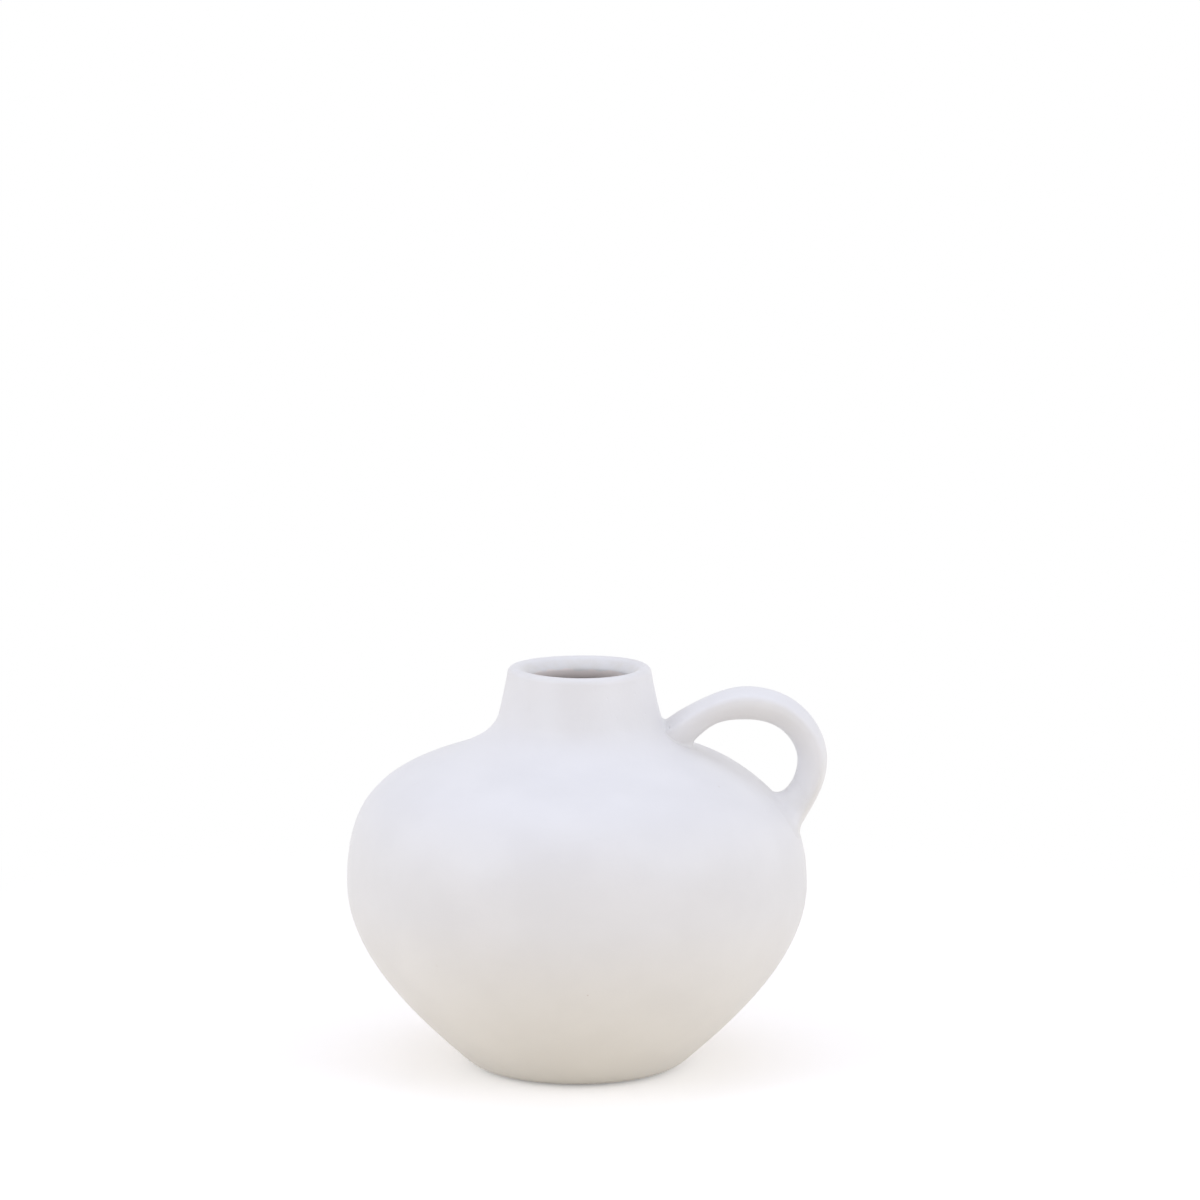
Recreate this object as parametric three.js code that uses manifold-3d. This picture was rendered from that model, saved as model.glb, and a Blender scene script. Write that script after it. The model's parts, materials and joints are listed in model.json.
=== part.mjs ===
import * as THREE from 'three';
import { mergeVertices } from 'three/addons/utils/BufferGeometryUtils.js';
import Module from 'manifold-3d';

// Handled vase: a squat round ceramic body with a short neck, and one ear-shaped handle stuck on
// with slip in the corner of neck and shoulder and again lower on the shoulder.
// Millimetres, +Z up, the handle towards +X. The origin is the middle of the underside of the
// box round the whole vase, so the axis of the body stands a little towards -X.

// Foot
const FOOT_RADIUS = 32.4; // outer edge of the flat ring that the vase stands on
const FOOT_RING_WIDTH = 6;
const FOOT_RECESS = 2; // the underside is hollow inside the ring by this much
const FOOT_CORNER_RADIUS = 15; // rounding between the ring and the lower wall
const FOOT_FLARE = 42; // degrees from level, where that rounding runs into the lower wall

// Body outline, from the table up: each rise is counted from the place before it
const BELLY_RADIUS = 85.5;
const BELLY_RISE = 69; // widest place
const SHOULDER_RADIUS = 50;
const SHOULDER_RISE = 48; // place where the shoulder turns from round to hollow
const SHOULDER_SLOPE = 18.5; // degrees from level at that place
const NECK_RADIUS = 30.2;
const NECK_ROOT_RISE = 14.5; // place where the hollow ends and the neck begins
const NECK_ROOT_LEAN = 17; // degrees that the wall leans in there
const NECK_RISE = 18.5; // from there to the top of the lip
const LIP_RADIUS = 26.7;
const LIP_LEAN = 9; // degrees that the neck leans in just under the lip
const LIP_ROUNDING = 2.6; // radius of the lip on the outside, up to its top
const LIP_THICKNESS = 7.4; // from the outer edge of the rolled lip to its narrowest place inside
const THROAT_DEPTH = 4.6; // that place below the top of the lip
const THROAT_RUN = 9; // from there down to where the wall has its own thickness
const WALL = 4.5;
const FLOOR = 4.5;

// Fullness of the outline: how far each curve keeps the direction that it starts or ends with
const LOWER_WALL_FULLNESS = 25;
const UNDER_BELLY_FULLNESS = 25;
const OVER_BELLY_FULLNESS = 30;
const SHOULDER_FULLNESS = 26;
const HOLLOW_FULLNESS = 14.5;
const NECK_ROOT_FULLNESS = 5;
const NECK_FULLNESS = 4;
const LIP_TOP_FULLNESS = 1.7;
const ABOVE_THROAT_FULLNESS = 1.5;
const BELOW_THROAT_FULLNESS = 5;
const WALL_TOP_FULLNESS = 5;

// Handle: its two roots are places on the outside of the body, and the loop is set out from them
const UPPER_ROOT_DROP = 5.8; // below the neck root
const UPPER_ROOT_ANGLE = 23; // degrees above level at which the handle leaves the body
const CREST_REACH = 30; // from the upper root out to the top of the loop
const CREST_RISE = 10.6; // from the upper root up to the top of the loop
const LOWER_ROOT_DROP = 22.7; // below the place where the shoulder turns hollow
const LOWER_ROOT_ANGLE = 53.5; // degrees above level at which the handle leaves the body
const SIDE_OVERHANG = 6.3; // from the lower root out to the outermost place of the loop
const SIDE_RISE = 19.4; // from the lower root up to that place
const UPPER_ROOT_FULLNESS = 16;
const BEFORE_CREST_FULLNESS = 12.3;
const AFTER_CREST_FULLNESS = 12.7;
const ABOVE_SIDE_FULLNESS = 12.8;
const BELOW_SIDE_FULLNESS = 4;
const LOWER_ROOT_FULLNESS = 7.4;
const HANDLE_WIDTH = 18;
const WIDEST_OFFSET = 1.6; // from the middle of the section out to its widest place
const UPPER_ROOT_THICKNESS = 11.3;
const CREST_THICKNESS = 12.4;
const SIDE_THICKNESS = 11.1;
const LOWER_ROOT_THICKNESS = 10.3;

// Slip joints
const CLEARANCE = 0.3; // between a slip joint and each of the two pieces that it holds
const SLIP_BED = 1.2; // thickness of the slip between handle and body
const SLIP_EDGE = 0.4; // thickness left at the rim of a fillet
const UPPER_FILLET = 3.2; // reach of the fillet along the handle and along the body
const LOWER_FILLET = 5;

// Facets
const BODY_SEGMENTS = 60; // a multiple of 4, so that the body reaches its full width along X and Y
const SECTION_SIDES = 24;
const FILLET_STEPS = 4;
const LIP_STEPS = 5;
const RECESS_STEPS = 3;

const SHOULDER_HEIGHT = BELLY_RISE + SHOULDER_RISE;
const NECK_ROOT_HEIGHT = SHOULDER_HEIGHT + NECK_ROOT_RISE;
const HEIGHT = NECK_ROOT_HEIGHT + NECK_RISE;

const wasm = await Module();
wasm.setup();

function direction(degrees) {
  const angle = THREE.MathUtils.degToRad(degrees);
  return new THREE.Vector2(Math.cos(angle), Math.sin(angle));
}

// A curve that leaves one point at one angle and reaches another point at another angle
function bend(start, startAngle, startFullness, end, endAngle, endFullness) {
  const leave = start.clone().addScaledVector(direction(startAngle), startFullness);
  const reach = end.clone().addScaledVector(direction(endAngle), -endFullness);
  return new THREE.CubicBezierCurve(start, leave, reach, end);
}

function arc(centre, radius, startDegrees, endDegrees) {
  const start = THREE.MathUtils.degToRad(startDegrees);
  const end = THREE.MathUtils.degToRad(endDegrees);
  return new THREE.EllipseCurve(centre.x, centre.y, radius, radius, start, end, end < start);
}

// The value between low and high at which a test turns from false to true
function turningPoint(low, high, test) {
  let before = low;
  let after = high;
  for (let i = 0; i < 40; i++) {
    const middle = (before + after) / 2;
    if (test(middle)) {
      after = middle;
    } else {
      before = middle;
    }
  }
  return after;
}

// Body: outline in the plane of radius (x) and height (y)

const footCentre = new THREE.Vector2(FOOT_RADIUS, FOOT_CORNER_RADIUS);
const footCorner = arc(footCentre, FOOT_CORNER_RADIUS, -90, FOOT_FLARE - 90);
const footEnd = footCorner.getPoint(1);
const belly = new THREE.Vector2(BELLY_RADIUS, BELLY_RISE);
const shoulder = new THREE.Vector2(SHOULDER_RADIUS, SHOULDER_HEIGHT);
const shoulderAngle = 180 - SHOULDER_SLOPE;
const neckRoot = new THREE.Vector2(NECK_RADIUS, NECK_ROOT_HEIGHT);
const neckRootAngle = 90 + NECK_ROOT_LEAN;
const lipCentre = new THREE.Vector2(LIP_RADIUS - LIP_ROUNDING, HEIGHT - LIP_ROUNDING);
const lip = arc(lipCentre, LIP_ROUNDING, LIP_LEAN, 90);
const lipStart = lip.getPoint(0);
const lipTop = lip.getPoint(1);
const throat = new THREE.Vector2(LIP_RADIUS - LIP_THICKNESS, HEIGHT - THROAT_DEPTH);

// Each stretch with its number of facets outside and inside
const OUTLINE = [
  { curve: footCorner, outside: 4, inside: 3 },
  {
    curve: bend(footEnd, FOOT_FLARE, LOWER_WALL_FULLNESS, belly, 90, UNDER_BELLY_FULLNESS),
    outside: 8,
    inside: 5,
  },
  {
    curve: bend(belly, 90, OVER_BELLY_FULLNESS, shoulder, shoulderAngle, SHOULDER_FULLNESS),
    outside: 12,
    inside: 7,
  },
  {
    curve: bend(shoulder, shoulderAngle, HOLLOW_FULLNESS, neckRoot, neckRootAngle, NECK_ROOT_FULLNESS),
    outside: 8,
    inside: 5,
  },
  {
    curve: bend(neckRoot, neckRootAngle, NECK_FULLNESS, lipStart, 90 + LIP_LEAN, NECK_FULLNESS),
    outside: 4,
    inside: 3,
  },
];

// The outline from foot to lip, moved out along its normal by a distance, or in where it is negative
function offsetOutline(distance, side) {
  const points = [];
  OUTLINE.forEach((stretch, index) => {
    const steps = stretch[side];
    const last = index === OUTLINE.length - 1 ? steps : steps - 1;
    for (let i = 0; i <= last; i++) {
      const tangent = stretch.curve.getTangent(i / steps);
      const normal = new THREE.Vector2(tangent.y, -tangent.x);
      points.push(stretch.curve.getPoint(i / steps).addScaledVector(normal, distance));
    }
  });
  return points;
}

// The inside from the top of the lip over its rolled edge to a point on the wall
function rolledEdge(wallTop, wallAngle) {
  const roll = bend(lipTop, 180, LIP_TOP_FULLNESS, throat, -90, ABOVE_THROAT_FULLNESS);
  const run = bend(throat, -90, BELOW_THROAT_FULLNESS, wallTop, wallAngle, WALL_TOP_FULLNESS);
  return [...roll.getPoints(LIP_STEPS).slice(1, -1), ...run.getPoints(LIP_STEPS).slice(0, -1)];
}

// The inside from lip to floor, ending on the axis. A floor that lies lower than the rounded corner
// of the wall is reached by a slope at 45 degrees.
function insideOutline() {
  const floorHeight = FOOT_RECESS + FLOOR;
  const whole = offsetOutline(-WALL, 'inside')
    .reverse()
    .filter((point) => point.y < throat.y - THROAT_RUN);
  const wall = whole.filter((point) => point.y > floorHeight);
  const wallAngle = THREE.MathUtils.radToDeg(wall[1].clone().sub(wall[0]).angle());
  const last = wall[wall.length - 1];
  const drop = last.y - floorHeight;
  const next = whole[wall.length] ?? new THREE.Vector2(last.x - drop, floorHeight);
  const corner = last.clone().lerp(next, drop / (last.y - next.y));
  return [...rolledEdge(wall[0], wallAngle), ...wall, corner, new THREE.Vector2(0, floorHeight)];
}

function revolve(points) {
  const geometry = new THREE.LatheGeometry(points, BODY_SEGMENTS);
  geometry.rotateX(Math.PI / 2);
  return geometry;
}

function bodyGeometry() {
  const recessRadius = FOOT_RADIUS - FOOT_RING_WIDTH - FOOT_RECESS;
  const recessCorner = arc(new THREE.Vector2(recessRadius, 0), FOOT_RECESS, 90, 0);
  const points = [
    new THREE.Vector2(0, FOOT_RECESS),
    ...recessCorner.getPoints(RECESS_STEPS),
    ...offsetOutline(0, 'outside'),
    ...lip.getPoints(LIP_STEPS).slice(1),
    ...insideOutline(),
  ];
  return revolve(points);
}

// The body without its hollow, grown on all sides, to cut the pieces that lie against it
function grownBody(distance) {
  const outside = offsetOutline(distance, 'outside');
  const bottom = new THREE.Vector2(0, outside[0].y);
  const top = new THREE.Vector2(0, outside[outside.length - 1].y);
  return toSolid(revolve([bottom, ...outside, top]));
}

// Radius of the outside of the body at a height, and 0 above the lip
function bodyRadius(height) {
  const outside = offsetOutline(0, 'outside');
  const above = outside.findIndex((point) => point.y >= height);
  if (above < 1) {
    return 0;
  }
  const low = outside[above - 1];
  const high = outside[above];
  return THREE.MathUtils.mapLinear(height, low.y, high.y, low.x, high.x);
}

// The point of the outside, moved out by a lift, that lies nearest to a given point
function dropOnBody(point, lift) {
  const radius = Math.hypot(point.x, point.y);
  const place = new THREE.Vector3(radius, point.z, 0);
  const outside = offsetOutline(lift, 'outside').map((p) => new THREE.Vector3(p.x, p.y, 0));
  const nearest = new THREE.Vector3(Infinity, 0, 0);
  const candidate = new THREE.Vector3();
  for (let i = 1; i < outside.length; i++) {
    new THREE.Line3(outside[i - 1], outside[i]).closestPointToPoint(place, true, candidate);
    if (candidate.distanceTo(place) < nearest.distanceTo(place)) {
      nearest.copy(candidate);
    }
  }
  const scale = nearest.x / radius;
  return new THREE.Vector3(point.x * scale, point.y * scale, nearest.y);
}

// Handle: centreline in the plane of radius (x) and height (y), and oval sections along it

const upperRootHeight = NECK_ROOT_HEIGHT - UPPER_ROOT_DROP;
const upperRoot = new THREE.Vector2(bodyRadius(upperRootHeight), upperRootHeight);
const crest = new THREE.Vector2(upperRoot.x + CREST_REACH, upperRoot.y + CREST_RISE);
const lowerRootHeight = SHOULDER_HEIGHT - LOWER_ROOT_DROP;
const lowerRoot = new THREE.Vector2(bodyRadius(lowerRootHeight), lowerRootHeight);
const side = new THREE.Vector2(lowerRoot.x + SIDE_OVERHANG, lowerRoot.y + SIDE_RISE);
const handleReach = side.x + SIDE_THICKNESS / 2;

// Each end goes on straight into the body, far enough for its whole section to be cut off there
const ROOT_DEPTH = 1.5 * HANDLE_WIDTH;
const upperEnd = upperRoot.clone().addScaledVector(direction(UPPER_ROOT_ANGLE), -ROOT_DEPTH);
const lowerEnd = lowerRoot.clone().addScaledVector(direction(LOWER_ROOT_ANGLE), -ROOT_DEPTH);

// A station counts along these curves: 1.25 is a quarter of the way along the second one
const CENTRELINE = [
  { curve: new THREE.LineCurve(upperEnd, upperRoot), steps: 1, thickness: UPPER_ROOT_THICKNESS },
  {
    curve: bend(upperRoot, UPPER_ROOT_ANGLE, UPPER_ROOT_FULLNESS, crest, 0, BEFORE_CREST_FULLNESS),
    steps: 10,
    thickness: UPPER_ROOT_THICKNESS,
  },
  {
    curve: bend(crest, 0, AFTER_CREST_FULLNESS, side, -90, ABOVE_SIDE_FULLNESS),
    steps: 12,
    thickness: CREST_THICKNESS,
  },
  {
    curve: bend(side, -90, BELOW_SIDE_FULLNESS, lowerRoot, LOWER_ROOT_ANGLE - 180, LOWER_ROOT_FULLNESS),
    steps: 8,
    thickness: SIDE_THICKNESS,
  },
  { curve: new THREE.LineCurve(lowerRoot, lowerEnd), steps: 1, thickness: LOWER_ROOT_THICKNESS },
];
const UPPER_END_STATION = 0;
const UPPER_CLEAR_STATION = 2;
const LOWER_CLEAR_STATION = 3;
const LOWER_END_STATION = CENTRELINE.length;

// The centre, direction and thickness of the handle at a station
function handleSection(station) {
  const index = Math.min(Math.floor(station), CENTRELINE.length - 1);
  const share = station - index;
  const here = CENTRELINE[index];
  const next = CENTRELINE[Math.min(index + 1, CENTRELINE.length - 1)];
  return {
    centre: here.curve.getPoint(share),
    tangent: here.curve.getTangent(share),
    thickness: THREE.MathUtils.lerp(here.thickness, next.thickness, share),
  };
}

// A point on the wall of the handle, with the section grown by a distance on all sides
function handleWall(station, angle, grow) {
  const { centre, tangent, thickness } = handleSection(station);
  const lift = WIDEST_OFFSET * Math.sin(angle) ** 2;
  const rise = (thickness / 2 + grow) * Math.cos(angle) + lift;
  const across = (HANDLE_WIDTH / 2 + grow) * Math.sin(angle);
  return new THREE.Vector3(centre.x - tangent.y * rise, across, centre.y + tangent.x * rise);
}

function sectionAngle(index) {
  return (index / SECTION_SIDES) * 2 * Math.PI;
}

// A closed skin over rings of equally many points, with a point at each end
function loft(firstPoint, rings, lastPoint) {
  const points = [firstPoint, ...rings.flat(), lastPoint];
  const lastIndex = points.length - 1;
  const count = rings[0].length;
  const faces = [];
  for (let i = 0; i < count; i++) {
    const next = (i + 1) % count;
    faces.push(0, 1 + i, 1 + next);
    for (let ring = 0; ring < rings.length - 1; ring++) {
      const here = 1 + ring * count;
      const there = here + count;
      faces.push(here + i, there + next, here + next, here + i, there + i, there + next);
    }
    const end = lastIndex - count;
    faces.push(lastIndex, end + next, end + i);
  }
  const geometry = new THREE.BufferGeometry().setFromPoints(points);
  geometry.setIndex(faces);
  return geometry;
}

// The handle as it is before its ends are cut to the body
function handleSweep(grow) {
  const stations = CENTRELINE.flatMap(({ steps }, index) =>
    Array.from({ length: steps }, (_, i) => index + i / steps),
  );
  stations.push(LOWER_END_STATION);
  const rings = stations.map((station) =>
    Array.from({ length: SECTION_SIDES }, (_, i) => handleWall(station, sectionAngle(i), grow)),
  );
  return loft(centrePoint(UPPER_END_STATION), rings, centrePoint(LOWER_END_STATION));
}

function centrePoint(station) {
  const { centre } = handleSection(station);
  return new THREE.Vector3(centre.x, 0, centre.y);
}

// Slip joints: each is a bed under the end of the handle with a hollow fillet round it

// The space inside the fillet, from a ring round the handle to a ring on the body and on into it
function filletSkirt(endStation, clearStation, reach) {
  const lift = CLEARANCE + SLIP_EDGE;
  const rings = Array.from({ length: FILLET_STEPS + 2 }, () => []);
  for (let i = 0; i < SECTION_SIDES; i++) {
    const angle = sectionAngle(i);
    const meeting = turningPoint(endStation, clearStation, (station) => {
      const point = handleWall(station, angle, 0);
      return Math.hypot(point.x, point.y) > bodyRadius(point.z);
    });
    const corner = dropOnBody(handleWall(meeting, angle, lift), lift);
    const rim = turningPoint(
      meeting,
      clearStation,
      (station) => handleWall(station, angle, lift).distanceTo(corner) > reach,
    );
    const outward = handleWall(meeting, angle, 1).sub(handleWall(meeting, angle, 0)).normalize();
    const onBody = dropOnBody(corner.clone().addScaledVector(outward, reach), lift);
    const hollow = new THREE.QuadraticBezierCurve3(handleWall(rim, angle, lift), corner, onBody);
    hollow.getPoints(FILLET_STEPS).forEach((point, ring) => rings[ring].push(point));
    rings[FILLET_STEPS + 1].push(dropOnBody(onBody, -WALL / 2));
  }
  const middle = new THREE.Vector3();
  rings[0].forEach((point) => middle.addScaledVector(point, 1 / SECTION_SIDES));
  return { middle, rings, end: centrePoint(endStation) };
}

function slipGeometry(skirt) {
  const handleEnd = toSolid(handleSweep(CLEARANCE)).subtract(grownBody(CLEARANCE + SLIP_BED));
  return toGeometry(toSolid(skirt).subtract(grownBody(CLEARANCE)).subtract(handleEnd));
}

function upperSlipGeometry() {
  const { middle, rings, end } = filletSkirt(UPPER_END_STATION, UPPER_CLEAR_STATION, UPPER_FILLET);
  return slipGeometry(loft(end, rings.reverse(), middle));
}

function lowerSlipGeometry() {
  const { middle, rings, end } = filletSkirt(LOWER_END_STATION, LOWER_CLEAR_STATION, LOWER_FILLET);
  return slipGeometry(loft(middle, rings, end));
}

function handleGeometry() {
  return toGeometry(toSolid(handleSweep(0)).subtract(grownBody(SLIP_BED + 2 * CLEARANCE)));
}

// Closed geometry to solid and back, for the cuts

function toSolid(geometry) {
  const bare = new THREE.BufferGeometry();
  bare.setAttribute('position', geometry.getAttribute('position'));
  bare.setIndex(geometry.getIndex());
  const merged = mergeVertices(bare);
  const mesh = new wasm.Mesh({
    numProp: 3,
    vertProperties: merged.getAttribute('position').array,
    triVerts: new Uint32Array(merged.getIndex().array),
  });
  return new wasm.Manifold(mesh);
}

function toGeometry(solid) {
  const mesh = solid.getMesh();
  const geometry = new THREE.BufferGeometry();
  geometry.setAttribute('position', new THREE.BufferAttribute(mesh.vertProperties, 3));
  geometry.setIndex(new THREE.BufferAttribute(mesh.triVerts, 1));
  geometry.computeVertexNormals();
  return geometry;
}

// White ceramic under a dull white glaze
const glazedBody = new THREE.MeshStandardMaterial({ color: 0xe9e8ea, roughness: 0.5, metalness: 0 });
const glazedHandle = new THREE.MeshStandardMaterial({ color: 0xe8e7e9, roughness: 0.5, metalness: 0 });
const glazedSlip = new THREE.MeshStandardMaterial({ color: 0xe5e3e2, roughness: 0.55, metalness: 0 });

function piece(name, geometry, material) {
  const mesh = new THREE.Mesh(geometry, material);
  mesh.name = name;
  return mesh;
}

const vase = new THREE.Group();
vase.add(piece('vase_body', bodyGeometry(), glazedBody));
vase.add(piece('handle', handleGeometry(), glazedHandle));
vase.add(piece('upper_slip_joint', upperSlipGeometry(), glazedSlip));
vase.add(piece('lower_slip_joint', lowerSlipGeometry(), glazedSlip));
vase.position.x = (BELLY_RADIUS - Math.max(handleReach, BELLY_RADIUS)) / 2;

const group = new THREE.Group();
group.add(vase);

export default group;
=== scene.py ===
import json
import math

import bmesh
import bpy
import numpy as np
from bpy.props import FloatProperty, FloatVectorProperty, PointerProperty
from bpy.types import Operator, Panel, PropertyGroup
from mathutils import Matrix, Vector


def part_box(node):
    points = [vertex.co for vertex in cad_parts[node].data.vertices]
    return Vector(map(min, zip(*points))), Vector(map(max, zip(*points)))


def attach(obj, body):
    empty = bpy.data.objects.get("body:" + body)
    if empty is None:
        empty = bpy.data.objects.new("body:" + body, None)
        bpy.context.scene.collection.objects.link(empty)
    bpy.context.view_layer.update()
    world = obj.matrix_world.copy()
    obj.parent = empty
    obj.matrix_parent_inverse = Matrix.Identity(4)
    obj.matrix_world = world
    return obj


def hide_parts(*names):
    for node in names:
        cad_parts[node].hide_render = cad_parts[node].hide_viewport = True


bl_info = {
    "name": "Handled Vase",
    "version": (1, 0, 0),
    "blender": (4, 5, 0),
    "location": "View3D > Sidebar > Vase",
    "description": "Builds a round white ceramic vase with one handle on a pale studio floor",
    "category": "Add Mesh",
}

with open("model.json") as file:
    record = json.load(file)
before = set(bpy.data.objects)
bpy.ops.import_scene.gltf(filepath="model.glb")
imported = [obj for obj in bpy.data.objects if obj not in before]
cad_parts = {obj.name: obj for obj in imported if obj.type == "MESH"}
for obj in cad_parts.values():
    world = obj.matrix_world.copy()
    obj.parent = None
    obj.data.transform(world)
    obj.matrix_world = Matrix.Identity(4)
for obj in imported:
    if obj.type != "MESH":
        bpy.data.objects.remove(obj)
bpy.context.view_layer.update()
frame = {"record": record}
BODY_LOW, BODY_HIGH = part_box("vase_body")
AXIS_X = (BODY_LOW.x + BODY_HIGH.x) / 2
SLOT_COLOUR = {entry["slot"]: entry["base_color"] for entry in frame["record"]["materials"]}

# How finely the pieces are divided
BODY_SEGMENTS = 288
UNDERSIDE_STEPS = 16
RECESS_STEPS = 10
RING_STEPS = 12
FOOT_STEPS = 28
LOWER_WALL_STEPS = 40
UPPER_WALL_STEPS = 56
HOLLOW_STEPS = 36
NECK_STEPS = 20
LIP_STEPS = 14
LIP_TOP_STEPS = 24
THROAT_STEPS = 18
FLOOR_STEPS = 24
ROOT_STEPS = 40
LOOP_STEPS = 120
HANDLE_RINGS = 200
HANDLE_SIDES = 72
SLIP_SIDES = 144
SLIP_STEPS = 14
HALVINGS = 40  # of the stretch in which the handle comes out of the body
FLOOR_SEGMENTS = 96

# Shares and small distances in metres that the pieces are set out with
WALL_FOOT_FULLNESS = 0.3  # how long the inner wall keeps its slope, as a share of its radius
FLOOR_FULLNESS = 0.5  # how long the floor stays level, as a share of that radius
GLAZE_EDGE = 2.5  # height at which the glaze is full, in thicknesses of the glaze
BARE_HEIGHT = 2  # height of the bare foot, in thicknesses of the glaze
OFF_WALL_FADE = 2  # how much faster the press fades off the wall than along it
NECK_CLEAR = 1.2  # radius within which all of the neck is shifted, in radii of the neck
ROOT_DEPTH = 1.5  # how deep the ends of the loop are drawn into the body, in widths
HANDLE_BED = 0.0004  # gap between the ends of the handle and the body
SLIP_UNDER = 0.0001  # how far the edges of the slip lie under a surface
SLIP_OVERLAP = 0.0006  # how far those edges run on
SLIP_INSIDE = 0.001  # how far the back of the slip lies under a surface
PROBE = 0.001  # short way out from a surface, which gives its direction

# Waves of what was made by hand: strength, lobes all round and start in radians, and for the body
# also the turn in radians from the table to the lip
BODY_WAVES = ((1, 2, 0.7, 2), (0.6, 3, 2.1, -5), (0.5, 1, -math.pi / 2, 9))
LIP_WAVE = (1.2, 2, -0.5)
REACH_WAVES = ((0.1, 2, 0.6), (0.06, 5, 2))
SMEAR_WAVES = ((1, 7, 1), (0.7, 12, 0), (0.5, 19, 2))

# Where the glaze runs thin on the lip, and the painted shade inside the mouth: the strength of the
# thinning and the share of the wall that it reaches down, the share of the glaze's depth at which
# the painted shade is full, and the shares between which the glaze ends in bare clay, whose colour
# also carries a painted warm shade
LIP_THINNING = 0.4
LIP_THINNING_REACH = 0.6
MOUTH_SHADE_FROM = 0.4
BARE_FROM, BARE_TO = 0.7, 1.3

# Patterns in the finishes: the size of their blotches and the depth of their relief in metres
BODY_CLOUDS = 0.03
HANDLE_CLOUDS = 0.02
SLIP_CLOUDS = 0.012
THIN_PATCHES = 0.004
GLAZE_RUNS = 0.006
DULL_PATCHES = 0.018
DIMPLES = 0.0022
TOOTH = 0.0003
CLAY_PATCHES = 0.008
CLAY_GRAIN = 0.0005
GLAZE_RELIEF = 0.00005
CLAY_RELIEF = 0.00008
NOISE_LOW, NOISE_HIGH = 0.3, 0.7  # noise lies between these nearly everywhere

# Scattered dots: spacing and radius in metres, and the share of them that is there
BURNT_SPECKS = (0.006, 0.00045, 0.02)
PITS = (0.0035, 0.0004, 0.12)
GRAINS = (0.0011, 0.00022, 0.5)

# Floor
FLOOR_RADIUS = 4
FLOOR_LIFT = 0.29  # glow that brings the floor up to white where it is seen
FADE_START, FADE_END = 0.16, 0.42  # distances from the vase between which it turns plain white

# Sizes and colours that a user would change


def length(name, description, metres):
    return FloatProperty(
        name=name, description=description, default=metres, unit="LENGTH", precision=4
    )


def angle(name, description, degrees):
    return FloatProperty(
        name=name, description=description, default=math.radians(degrees), subtype="ANGLE"
    )


def share(name, description, default):
    return FloatProperty(
        name=name, description=description, default=default, min=0, max=1, subtype="FACTOR"
    )


def power(name, description, watts):
    return FloatProperty(name=name, description=description, default=watts, min=0, unit="POWER")


def colour(name, description, default):
    return FloatVectorProperty(
        name=name, description=description, default=default, min=0, max=1, size=3, subtype="COLOR"
    )


def point(name, description, metres):
    return FloatVectorProperty(
        name=name,
        description=description,
        default=metres,
        size=3,
        subtype="TRANSLATION",
        unit="LENGTH",
    )


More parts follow.
